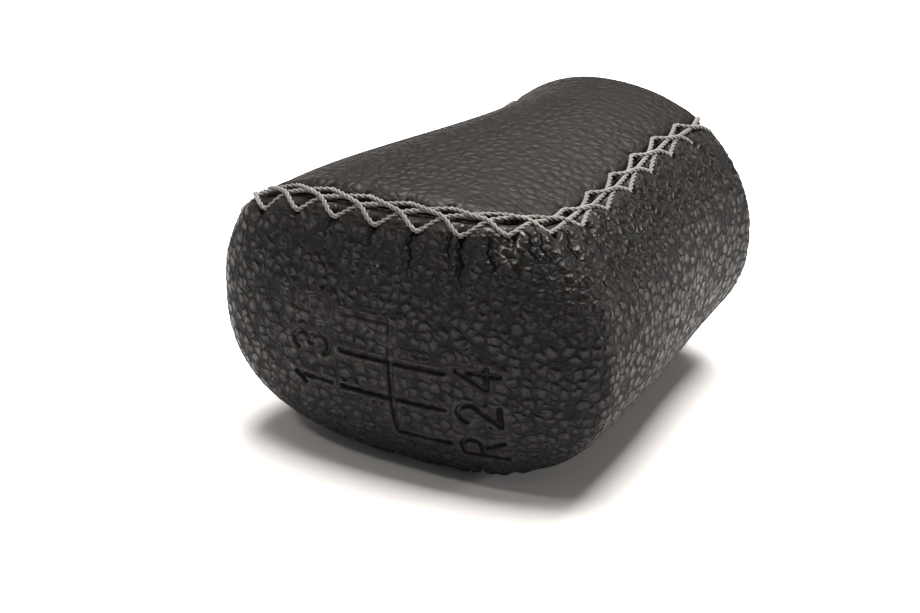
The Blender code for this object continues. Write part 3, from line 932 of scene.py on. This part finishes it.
def grainTree():
    # pebbles stand up between narrow furrows, less so on pressed leather
    g, given = newTree("leatherGrain", {"Cell size": 0.001, "Height": 0.00005})
    place = g.add("GeometryNodeInputPosition")
    edges = g.cells(g.bent(place), g.math("DIVIDE", 1.0, given["Cell size"]), "DISTANCE_TO_EDGE")
    inward = g.line(edges, grainForm["furrow"], 1.0, clamp=True)
    dome = g.math("SUBTRACT", 1.0, g.times(inward, inward))
    keep = g.math("SUBTRACT", 1.0, g.math("MAXIMUM", g.mark("pressed"), g.mark("nearSeam")), clamp=True)
    rise = g.times(g.times(dome, keep), given["Height"])
    push = g.vector("SCALE", g.add("GeometryNodeInputNormal"), rise)
    moved = g.add("GeometryNodeSetPosition", {"Geometry": given["Geometry"], "Offset": push})
    return g.finish(moved, given["Material"])


def threadTree():
    # twisted thread along every spline
    g, given = newTree("twistedThread", {
        "Thread": 0.00068, "Twist pitch": 0.0015, "Lobes": 3.0, "Lobe depth": 0.15,
        "Ring points": 12, "Ring step": 0.00013})
    path = g.add("GeometryNodeResampleCurve", {"Curve": given["Geometry"], "Length": given["Ring step"]},
                 mode="LENGTH")
    turns = g.math("DIVIDE", g.add("GeometryNodeSplineParameter", None, "Length"), given["Twist pitch"])
    twisted = g.add("GeometryNodeSetCurveTilt", {"Curve": path, "Tilt": g.times(turns, 2 * math.pi)})
    radius = g.times(given["Thread"], 0.5)
    ring = g.add("GeometryNodeCurvePrimitiveCircle", {"Resolution": given["Ring points"], "Radius": radius})
    phase = g.times(g.add("GeometryNodeSplineParameter", None, "Factor"), given["Lobes"])
    wave = g.math("COSINE", g.times(phase, 2 * math.pi))
    lobed = g.vector("SCALE", g.add("GeometryNodeInputPosition"), g.line(wave, given["Lobe depth"], 1.0))
    profile = g.add("GeometryNodeSetPosition", {"Geometry": ring, "Position": lobed})
    profile = g.add("GeometryNodeStoreNamedAttribute", {"Geometry": profile, "Name": "ply", "Value": wave},
                    data_type="FLOAT", domain="POINT")
    swept = g.add("GeometryNodeCurveToMesh", {"Curve": twisted, "Profile Curve": profile, "Fill Caps": True})
    return g.finish(swept, given["Material"])


def strandCourse(t, over, backward):
    # share of the way across: shallow beside the joint on the crown, pulled to the middle on the back
    way = t if over else 1 - t
    slow = laceForm["crownSlow"]
    crown = slow * way + (1 - slow) * smoothStep(laceForm["crownTurn"], 1.0, way)
    back = way + laceForm["backBow"] * np.sin(2 * np.pi * way)
    share = crown + (back - crown) * backward
    return share if over else 1 - share


def makeLacing(name, side, material, tree):
    f, seam = laceForm, seams[side]
    upper, lower = holes[side]
    half = f["rowGap"] / 2
    t = np.linspace(0, 1, f["strandPoints"])
    strands = [(upper[k], -half, lower[k + 1], half, True) for k in range(len(upper) - 1)]
    strands += [(lower[k], half, upper[k + 2], -half, False) for k in range(len(upper) - 2)]
    hump = np.sin(np.pi * t) ** f["humpPower"]
    lowest = f["thread"] / 2 * (1 + f["lobeDepth"]) - middleZ + f["floorGap"]
    curve = bpy.data.curves.new(name, "CURVE")
    curve.dimensions = "3D"
    for s0, a0, s1, a1, over in strands:
        top = f["overLift"] if over else f["underLift"]
        s = s0 + (s1 - s0) * t
        gathers = np.exp(-((s - f["cornerPlace"]) / f["cornerReach"]) ** 2)
        gathers *= smoothStep(*f["cornerSide"], a0 + (a1 - a0) * t)
        lift = f["holeLift"] + (top - f["holeLift"]) * hump + f["cornerLift"] * gathers
        if side < 0:
            lift = np.where(lift > 0, lift * f["pressedLift"], lift)
        across = a0 + (a1 - a0) * strandCourse(t, over, smoothStep(*f["courseChange"], (s0 + s1) / 2))
        # one more point at each end goes straight down into the hole
        lift = np.pad(lift, 1, constant_values=-f["plunge"])
        p = seam.place(np.pad(s, 1, "edge"), np.pad(across, 1, "edge"), lift)
        p[:, 2] = np.maximum(p[:, 2], lowest)
        spline = curve.splines.new("POLY")
        spline.points.add(len(p) - 1)
        spline.points.foreach_set("co", np.column_stack([intoFrame(p), np.ones(len(p))]).ravel())
    return bakeNodes(placed(name, curve), tree, {
        "Thread": f["thread"] * mm, "Twist pitch": f["twistPitch"] * mm, "Lobes": float(f["lobes"]),
        "Lobe depth": f["lobeDepth"], "Ring points": f["ringPoints"], "Ring step": f["ringStep"] * mm,
        "Material": material}, material)


# Materials

leatherLook = dict(
    pebble=(0.0050, 0.0042, 0.0036, 1),
    # painted shade in the furrows between pebbles
    furrow=(0.0006, 0.0005, 0.0004, 1),
    # painted shade where marks are deep: needle holes, folds, pressed walls, the joint
    creaseShade=(0.0002, 0.0002, 0.0002, 1),
    scuff=(0.16, 0.15, 0.14, 1),
    roughness=(0.26, 0.70),
    grainBump=0.00055,
    specular=0.22,
    seamSmooth=1.0,
    pulledFlat=0.0,
)
panelLook = dict(
    pebble=(0.0066, 0.0056, 0.0049, 1),
    # painted shade in the furrows between pebbles
    furrow=(0.0030, 0.0026, 0.0022, 1),
    # painted shade in needle holes and on the rims in the joint
    creaseShade=(0.0003, 0.0003, 0.0002, 1),
    roughness=(0.44, 0.62),
    grainBump=0.00020,
    specular=0.15,
    seamSmooth=0.8,
    pulledFlat=0.6,
)


def newMaterial(name):
    made = bpy.data.materials.new(name)
    made.use_nodes = True
    g = Graph(made.node_tree)
    return made, g, g.tree.nodes["Principled BSDF"]


def seamLines(g, places, halfWidth):
    # thin lines drawn from their places beside the seam
    along, away = g.mark("seamS"), g.mark("seamD")
    slow, quick = (g.times(g.math("SINE", g.times(away, rate)), size) for size, rate in reliefForm["wander"])
    along = g.math("ADD", along, g.math("ADD", slow, quick))
    total = None
    for s0, s1, d0, d1, strength in places:
        long = d1 - d0
        off = g.math("ABSOLUTE", g.math("SUBTRACT", along, g.map(away, d0, d1, s0, s1)))
        line = g.map(off, 0.03, 2 * halfWidth, 1.0, 0.0, curve="SMOOTHSTEP")
        begin = g.map(away, d0 - 0.2 * long, d0)
        finish = g.map(away, d0 + 0.45 * long, d1, strength, 0.0)
        one = g.times(line, g.times(begin, finish))
        total = one if total is None else g.math("MAXIMUM", total, one)
    return total


def grainDome(g, place):
    # pebbles as round balls inside flat-topped cells
    density = 1 / grainForm["cellSize"]
    nearest = g.cells(place, density, "SMOOTH_F1", Smoothness=0.22)
    inward = g.line(g.cells(place, density, "DISTANCE_TO_EDGE"), grainForm["furrow"], 1.0, clamp=True)
    rim = g.line(g.times(inward, inward), -0.55, 0.55)
    return g.math("ADD", rim, g.line(g.times(nearest, nearest), -1.3, 0.65))


def leatherMaterial(name, look, folds=False):
    made, g, shader = newMaterial(name)
    coords = g.coords()
    laid = g.bent(coords)
    dome = grainDome(g, laid)
    smoothed = g.math("MAXIMUM", g.mark("pressed"), g.times(g.mark("nearSeam"), look["seamSmooth"]))
    # the leather is pulled flatter towards the back
    fromBack = g.add("ShaderNodeSeparateXYZ", {0: coords}, "X")
    pulled = g.map(fromBack, -0.014, 0.008, 0.0, look["pulledFlat"], curve="SMOOTHSTEP")
    keep = g.line(g.math("MAXIMUM", smoothed, pulled), -0.85, 1.0, clamp=True)
    height = g.times(dome, keep)
    height = g.line(g.noise(laid, 2.4 / grainForm["cellSize"], 3.0), 0.30, height)
    height = g.line(g.noise(coords, 5200.0, 3.0), 0.04, height)
    # painted shade round needle holes, and on the panels' rims in the joint
    groove = g.mark("creaseShade")
    if folds:
        # painted shade: dark lines at the bottom of the folds
        lines = seamLines(g, reliefForm["creases"], reliefForm["creaseLine"])
        groove = g.math("MAXIMUM", groove, lines)
        height = g.line(lines, -0.9, height)
        # the noise breaks the scuffs up into short pieces
        scuffs = seamLines(g, reliefForm["scuffs"], reliefForm["scuffLine"])
        scuffed = g.times(scuffs, g.map(g.noise(coords, 1500.0, 2.0), 0.42, 0.55))
        # crisp walls of the pressed lines, with painted shade along them
        away, hard = g.mark("pressAway"), g.mark("pressHard")
        dip = g.map(away, -gateForm["crispEdge"], 0.05, -0.38, 0.0, curve="SMOOTHSTEP")
        height = g.line(dip, hard, height)
        offWall = g.math("ABSOLUTE", g.math("ADD", away, 0.10))
        groove = g.math("MAXIMUM", groove, g.times(g.map(offWall, 0.0, 0.22, 0.8, 0.0), hard))
    worn = g.map(g.noise(coords, 90.0, 4.0), 0.35, 0.7)
    # painted shade: darker in the furrows, lifted where the grain is smoothed
    furrowShadedTone = g.ramp(dome, [(0.15, look["furrow"]), (0.95, look["pebble"])])
    shade = g.line(worn, 0.35, 0.82, clamp=True)
    colour = g.mix(1.0, g.mix(keep, look["pebble"], furrowShadedTone), shade, blend="MULTIPLY")
    # painted shade: near black where the marks are deep
    colour = g.mix(groove, colour, look["creaseShade"])
    if folds:
        colour = g.mix(scuffed, colour, look["scuff"])
    low, high = look["roughness"]
    rough = g.line(worn, 0.06, g.line(g.map(dome, 0.9, 0.3), high - low, low))
    g.wire(shader, {
        "Base Color": colour,
        "Metallic": g.times(groove, 0.5),        # painted shade: metal with the near-black crease colour takes the reflection out of deep marks
        "Roughness": g.math("ADD", rough, groove, clamp=True),
        "Specular IOR Level": look["specular"],
        "Normal": g.bump(1.0, look["grainBump"], height)})
    return made


threadLook = dict(
    # deep is the dark end, for fibre tone and painted shade between the plies
    deep=(0.012, 0.011, 0.010),
    bright=(0.145, 0.139, 0.13),
    sheen=0.25,
)


def threadMaterial():
    made, g, shader = newMaterial("greyThread")
    coords = g.coords()
    fibre = g.noise(coords, 9000.0, 3.0)
    blend = g.line(g.noise(coords, 260.0, 2.0), 0.5, g.times(fibre, 0.5))
    # painted shade: darker between the plies
    blend = g.times(blend, g.line(g.map(g.mark("ply"), -1.0, 0.6), 0.8, 0.2))
    g.wire(shader, {
        "Base Color": g.ramp(blend, [(0.05, threadLook["deep"]), (0.55, threadLook["bright"])]),
        "Roughness": g.line(fibre, 0.2, 0.6),
        "Sheen Weight": threadLook["sheen"],
        "Normal": g.bump(0.6, 0.00004, fibre)})
    return made


def mouldedMaterial(name, colour, roughness, grain, distance):
    made, g, shader = newMaterial(name)
    coords = g.coords()
    sparks = g.noise(coords, grain, 4.0)
    bright = tuple(min(1, c * 1.5) for c in colour)
    g.wire(shader, {
        "Base Color": g.ramp(g.noise(coords, 140.0, 3.0), [(0.3, colour), (0.75, bright)]),
        "Roughness": g.line(sparks, 0.25, roughness),
        "Normal": g.bump(0.7, distance, sparks)})
    return made


steelLook = dict(
    dark=(0.42, 0.42, 0.43),
    bright=(0.60, 0.60, 0.61),
    anisotropic=0.5,
    roughness=0.24,
    lineScale=900.0,
)


def turnedSteelMaterial():
    made, g, shader = newMaterial("turnedSteel")
    middle = (leverLow + leverHigh) / 2
    centred = g.add("ShaderNodeMapping", {"Vector": g.coords(), "Location": (-middle.x, 0, -middle.z)})
    links = {"Vector": centred, "Scale": steelLook["lineScale"], "Distortion": 1.2, "Detail": 2.0}
    lines = g.add("ShaderNodeTexWave", links, "Fac", wave_type="RINGS", rings_direction="Y")
    g.wire(shader, {
        "Base Color": g.ramp(lines, [(0.2, steelLook["dark"]), (0.8, steelLook["bright"])]),
        "Metallic": 1.0,
        "Anisotropic": steelLook["anisotropic"],
        "Roughness": g.line(lines, 0.15, steelLook["roughness"]),
        "Normal": g.bump(0.4, 0.00003, lines)})
    return made


wrapLeather = leatherMaterial("wrapLeather", leatherLook, folds=True)
sideLeather = leatherMaterial("sideLeather", panelLook)
greyThread = threadMaterial()
blackPlastic = mouldedMaterial("blackPlastic", (0.010, 0.010, 0.011), 0.38, 5200.0, 0.00004)
coreFoam = mouldedMaterial("coreFoam", (0.018, 0.018, 0.018), 0.55, 2400.0, 0.00012)
steel = turnedSteelMaterial()
print("materials ready")

grain = grainTree()
grainValues = {"Cell size": grainForm["cellSize"], "Height": grainForm["height"], "Material": wrapLeather}
wrap = bakeNodes(makeWrap(), grain, grainValues, wrapLeather)
joinPoints(wrap.data)
print("wrap ready, %d faces" % len(wrap.data.polygons))

grainValues.update({"Height": grainForm["height"] * grainForm["panelShare"], "Material": sideLeather})
panels = {side: bakeNodes(makePanel(label, side), grain, grainValues, sideLeather)
          for label, side in (("rightSidePanel", 1), ("leftSidePanel", -1))}
print("panels ready, %d faces each" % len(panels[1].data.polygons))

threads = threadTree()
lacings = {side: makeLacing(label, side, greyThread, threads)
           for label, side in (("rightLacing", 1), ("leftLacing", -1))}
print("lacing ready, %d faces each" % len(lacings[1].data.polygons))


# Turned pieces of the lever end

sharpAngle = math.radians(35)


def turnedPiece(name, profile, rounding, material, steps=96):
    # (radius, y) pairs in mm from the crown, turned round the lever's axis
    bm = bmesh.new()
    rings = []
    for i in range(steps):
        a = 2 * math.pi * i / steps
        ring = [(knobForm["leverX"] + r * math.cos(a), y, r * math.sin(a)) for r, y in profile]
        rings.append([bm.verts.new(p) for p in intoFrame(ring)])
    for a, b in zip(rings, rings[1:] + rings[:1]):
        for k in range(len(profile) - 1):
            bm.faces.new((a[k], b[k], b[k + 1], a[k + 1]))
        if profile[0][0] > 0:
            bm.faces.new((a[-1], b[-1], b[0], a[0]))
    bmesh.ops.remove_doubles(bm, verts=bm.verts, dist=1e-6)
    bmesh.ops.recalc_face_normals(bm, faces=bm.faces)
    mesh = bpy.data.meshes.new(name)
    bm.to_mesh(mesh)
    bm.free()
    obj = placed(name, mesh)
    bevel = obj.modifiers.new("edges", "BEVEL")
    bevel.width = rounding * mm
    bevel.segments = 3
    bevel.limit_method = "ANGLE"
    bevel.angle_limit = sharpAngle
    bevel.harden_normals = True
    depsgraph = bpy.context.evaluated_depsgraph_get()
    made = bpy.data.meshes.new_from_object(obj.evaluated_get(depsgraph))
    obj.modifiers.clear()
    obj.data = made
    made.name = name
    paint(made, material)
    made.set_sharp_from_angle(angle=sharpAngle)
    return obj


collarForm = dict(
    neck=12.6,
    neckDepth=4.0,
    flange=14.8,
    sink=0.6,
    thick=1.2,
    play=0.3,
    groove=(10.4, 10.6, 11.0, 11.2),
    step=0.45,
    chamfer=0.5,
    rounding=0.16,
)
insertForm = dict(
    radius=7.5,
    rib=0.8,
    ribWidth=3.0,
    ribShares=(1 / 3, 2 / 3),
    depth=38.0,
    bore=5.0,
    boreDepth=34.0,
    leadIn=0.8,
    rounding=0.12,
)


def makeCollar():
    c, length = collarForm, knobForm["length"]
    under = length - c["sink"]
    top = under + c["thick"]
    hole = insertForm["radius"] + c["play"]
    first, inner, outer, last = c["groove"]
    floor = top - c["step"]
    profile = [(hole, top), (first, top), (inner, floor), (outer, floor), (last, top),
               (c["flange"] - c["chamfer"], top), (c["flange"], top - c["chamfer"]), (c["flange"], under),
               (c["neck"], under), (c["neck"], length - c["neckDepth"]), (hole, length - c["neckDepth"])]
    return turnedPiece("baseCollar", profile, c["rounding"], blackPlastic)


def makeInsert():
    f, length = insertForm, knobForm["length"]
    end = length + knobForm["collarProud"]
    floor = end - f["boreDepth"]
    profile = [(0, floor), (f["bore"], floor), (f["bore"], end - f["leadIn"]),
               (f["bore"] + f["leadIn"], end), (f["radius"], end)]
    half, rib = f["ribWidth"] / 2, f["radius"] + f["rib"]
    for share in f["ribShares"]:
        y = length - share * f["depth"]
        profile += [(f["radius"], y + half), (rib, y + half), (rib, y - half), (f["radius"], y - half)]
    profile += [(f["radius"], length - f["depth"]), (0, length - f["depth"])]
    return turnedPiece("leverInsert", profile, f["rounding"], steel)


collar, insert = makeCollar(), makeInsert()
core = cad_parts["knob_core"]
core.data.materials.clear()
core.data.materials.append(coreFoam)
print("lever end ready")

# Into the frame

for piece, nodeName, slotName in (
        (wrap, "leather_wrap", "leather"), (panels[1], "right_side_panel", "side_leather"),
        (panels[-1], "left_side_panel", "side_leather"), (lacings[1], "right_lacing", "grey_thread"),
        (lacings[-1], "left_lacing", "grey_thread"), (collar, "base_collar", "black_plastic"),
        (insert, "lever_insert", "steel")):
    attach(piece, "root")
    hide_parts(nodeName)

# Studio

studio = dict(
    floorSize=6.0,
    floorTone=0.66,
    floorRoughness=0.9,
    floorSpecular=0.2,
    paperTint=(1.0, 0.95, 0.91),
    world=0.20,
    # place, size and power of each soft light
    lights={
        "overhead": ((-0.03, 0.15, 0.76), (0.60, 0.60), 26.0),
        "leftFront": ((-0.32, -0.42, 0.72), (0.10, 0.10), 1.4),
        "backRight": ((0.75, 0.55, 0.24), (0.12, 0.12), 3.0),
    },
    lightAim=(0, 0, 0.02),
    azimuth=34.72,
    elevation=28.05,
    distance=326.5 * mm,
    lens=85.29,
    target=(-2.613 * mm, -8.587 * mm, 17.774 * mm),
)


def makeFloor():
    half = studio["floorSize"] / 2
    mesh = bpy.data.meshes.new("studioFloor")
    corners = [(-half, -half, 0), (half, -half, 0), (half, half, 0), (-half, half, 0)]
    mesh.from_pydata(corners, [], [(0, 1, 2, 3)])
    floor = placed("studioFloor", mesh)
    paper, g, shader = newMaterial("whitePaper")
    g.wire(shader, {
        "Base Color": (studio["floorTone"],) * 3 + (1,),
        "Roughness": studio["floorRoughness"],
        "Specular IOR Level": studio["floorSpecular"]})
    mesh.materials.append(paper)


def addLight(name, place, size, power):
    data = bpy.data.lights.new(name, "AREA")
    data.shape = "RECTANGLE"
    data.size, data.size_y = size
    data.energy = power
    data.color = studio["paperTint"]
    lamp = placed(name, data)
    lamp.location = place
    aim = Vector(studio["lightAim"]) - Vector(place)
    lamp.rotation_euler = aim.to_track_quat("-Z", "Y").to_euler()


def aimCamera():
    az, el = math.radians(studio["azimuth"]), math.radians(studio["elevation"])
    ahead = Vector((-math.sin(az) * math.cos(el), math.cos(az) * math.cos(el), -math.sin(el)))
    right = Vector((math.cos(az), math.sin(az), 0))
    up = right.cross(ahead)
    data = bpy.data.cameras.new("photoCamera")
    data.lens = studio["lens"]
    data.sensor_width = 36
    data.clip_start = 0.01
    camera = placed("photoCamera", data)
    turn = Matrix((right, up, -ahead)).transposed().to_4x4()
    camera.matrix_world = Matrix.Translation(Vector(studio["target"]) - ahead * studio["distance"]) @ turn
    bpy.context.scene.camera = camera


makeFloor()
for lampName, (place, size, power) in studio["lights"].items():
    addLight(lampName, place, size, power)
world = bpy.data.worlds.new("studioWorld")
bpy.context.scene.world = world
world.use_nodes = True
background = world.node_tree.nodes["Background"]
background.inputs["Color"].default_value = (*studio["paperTint"], 1)
background.inputs["Strength"].default_value = studio["world"]
aimCamera()
bpy.context.scene.view_settings.view_transform = "Standard"
print("studio ready")
